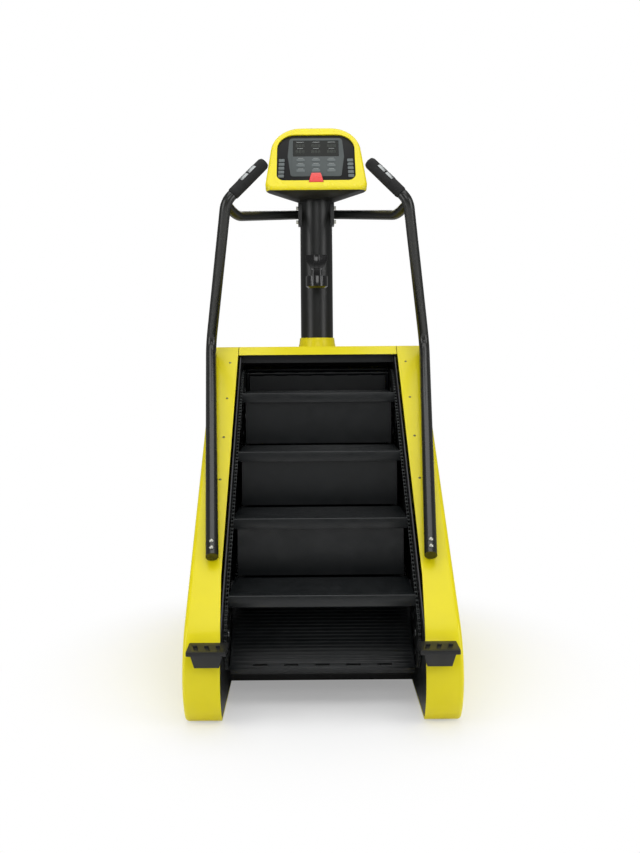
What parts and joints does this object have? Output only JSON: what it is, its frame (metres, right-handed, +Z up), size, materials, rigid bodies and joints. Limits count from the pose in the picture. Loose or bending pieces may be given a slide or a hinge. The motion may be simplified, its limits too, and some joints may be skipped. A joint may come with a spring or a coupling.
{
  "type": "stair climber",
  "caption": "Gym stair climber with revolving steps between yellow side covers, a black column, curved handrails with heart-rate grips and a control console.",
  "frame": {"origin": "centre of the footprint, on the floor", "axes": "+Z up, +X to the user's right, +Y from the entry side towards the column and rear cover"},
  "size_m": [0.9, 1.4, 2.0854],
  "materials": {
    "cover_yellow": "gloss",
    "console_yellow": "gloss",
    "frame_black": "satin",
    "step_black": "black coated, satin",
    "rail_grey": "satin",
    "machined_steel": "satin",
    "chain_steel": "oiled",
    "sensor_steel": "satin",
    "fastener_zinc": "bright",
    "moulded_black": "fine grain",
    "gloss_black": "gloss",
    "grip_foam": "matte",
    "foot_rubber": "matte",
    "wheel_rubber": "matte",
    "belt_rubber": "matte",
    "motor_grey": "satin",
    "roller_grey": "matte",
    "overlay_grey": "fine grain",
    "key_grey": "matte",
    "display": "dark tinted",
    "stop_red": "gloss"
  },
  "bodies": {
    "frame": {"base_frame": "frame_black", "side_plate_left": "frame_black", "side_plate_right": "frame_black", "top_frame": "frame_black", "cover_left": "cover_yellow", "cover_right": "cover_yellow", "top_panel": "cover_yellow", "rear_cover": "moulded_black", "cover_screws": "fastener_zinc", "levelling_feet": "foot_rubber", "lower_axles": "machined_steel", "bearings": "motor_grey", "step_chains": "chain_steel", "drive_chain": "chain_steel", "drive_belt": "belt_rubber", "motor": "motor_grey", "control_box": "motor_grey", "power_inlet": "moulded_black", "column": "frame_black", "column_collar": "cover_yellow", "bottle_holder": "gloss_black", "handrail_left": "rail_grey", "handrail_right": "rail_grey", "crossbars": "frame_black", "rail_bolts": "fastener_zinc", "grip_left": "grip_foam", "grip_right": "grip_foam", "sensor_plates": "sensor_steel", "foot_peg_left": "moulded_black", "foot_peg_right": "moulded_black", "console_shell": "console_yellow", "console_base": "moulded_black", "console_bezel": "gloss_black", "console_overlay": "overlay_grey", "display_lens": "display", "keypad": "key_grey"},
    "climbing_steps": {"tread_1": "step_black", "tread_2": "step_black", "tread_3": "step_black", "tread_4": "step_black", "risers_incline": "step_black", "step_axles": "machined_steel"},
    "folding_riser": {"riser_4": "step_black"},
    "lower_turn": {"lower_sprockets": "machined_steel", "tread_5": "step_black", "riser_5": "step_black", "lower_step_axle": "machined_steel"},
    "upper_turn": {"drive_shaft": "machined_steel", "upper_sprockets": "machined_steel", "driven_sprocket": "machined_steel", "treads_top": "step_black", "risers_top": "step_black"},
    "returning_steps": {"treads_return": "step_black", "risers_return": "step_black"},
    "jackshaft_body": {"jackshaft": "machined_steel"},
    "motor_pulley_body": {"motor_pulley": "machined_steel"},
    "left_transport_wheel": {"transport_wheel_left": "wheel_rubber"},
    "right_transport_wheel": {"transport_wheel_right": "wheel_rubber"},
    "stop_key_body": {"stop_key": "stop_red"},
    "power_switch_body": {"power_switch": "stop_red"}
  },
  "joints": [
    {"name": "step_travel", "type": "slide", "parent": "frame", "child": "climbing_steps", "axis": [0, -0.7396, -0.673], "range_m": [-0.02, 0.012], "deforming": ["step_chains", "drive_chain", "drive_belt"]},
    {"name": "riser_fold", "type": "hinge", "parent": "climbing_steps", "child": "folding_riser", "pos_m": [0, -0.45642, 0.33902], "axis": [1, 0, 0], "range_deg": [-14.69, 8.82]},
    {"name": "lower_sprocket_turn", "type": "hinge", "parent": "frame", "child": "lower_turn", "pos_m": [0, -0.42023, 0.22848], "axis": [1, 0, 0], "range_deg": [-10.82, 6.5]},
    {"name": "upper_sprocket_turn", "type": "hinge", "parent": "frame", "child": "upper_turn", "pos_m": [0, 0.4045, 0.86962], "axis": [1, 0, 0], "range_deg": [-6.15, 3.7]},
    {"name": "return_travel", "type": "slide", "parent": "frame", "child": "returning_steps", "axis": [0, 0.8346, 0.5508], "range_m": [-0.02001, 0.01201]},
    {"name": "jackshaft_turn", "type": "hinge", "parent": "frame", "child": "jackshaft_body", "pos_m": [0, 0.509, 0.43], "axis": [1, 0, 0], "range_deg": [-19.85, 11.92]},
    {"name": "motor_turn", "type": "hinge", "parent": "frame", "child": "motor_pulley_body", "pos_m": [0, 0.369, 0.165], "axis": [1, 0, 0], "range_deg": [-58.89, 35.34]},
    {"name": "left_wheel_turn", "type": "hinge", "parent": "frame", "child": "left_transport_wheel", "pos_m": [-0.278, 0.66, 0.034], "axis": [1, 0, 0], "continuous": true},
    {"name": "right_wheel_turn", "type": "hinge", "parent": "frame", "child": "right_transport_wheel", "pos_m": [0.278, 0.66, 0.034], "axis": [1, 0, 0], "continuous": true},
    {"name": "stop_key_press", "type": "slide", "parent": "frame", "child": "stop_key_body", "axis": [0, 0.8771, -0.4802], "range_m": [0, 0.002], "stiffness_N_per_m": 900},
    {"name": "power_switch_rock", "type": "hinge", "parent": "frame", "child": "power_switch_body", "pos_m": [-0.086, 0.688, 0.131], "axis": [1, 0, 0], "range_deg": [0, 10]}
  ],
  "couplings": [
    {"joint": "riser_fold", "follows": "step_travel", "rad_per_m": 12.8},
    {"joint": "lower_sprocket_turn", "follows": "step_travel", "rad_per_m": 9.4236},
    {"joint": "upper_sprocket_turn", "follows": "step_travel", "rad_per_m": 5.3485},
    {"joint": "return_travel", "follows": "step_travel", "ratio": 1},
    {"joint": "jackshaft_turn", "follows": "step_travel", "rad_per_m": 17.304},
    {"joint": "motor_turn", "follows": "step_travel", "rad_per_m": 51.371}
  ]
}
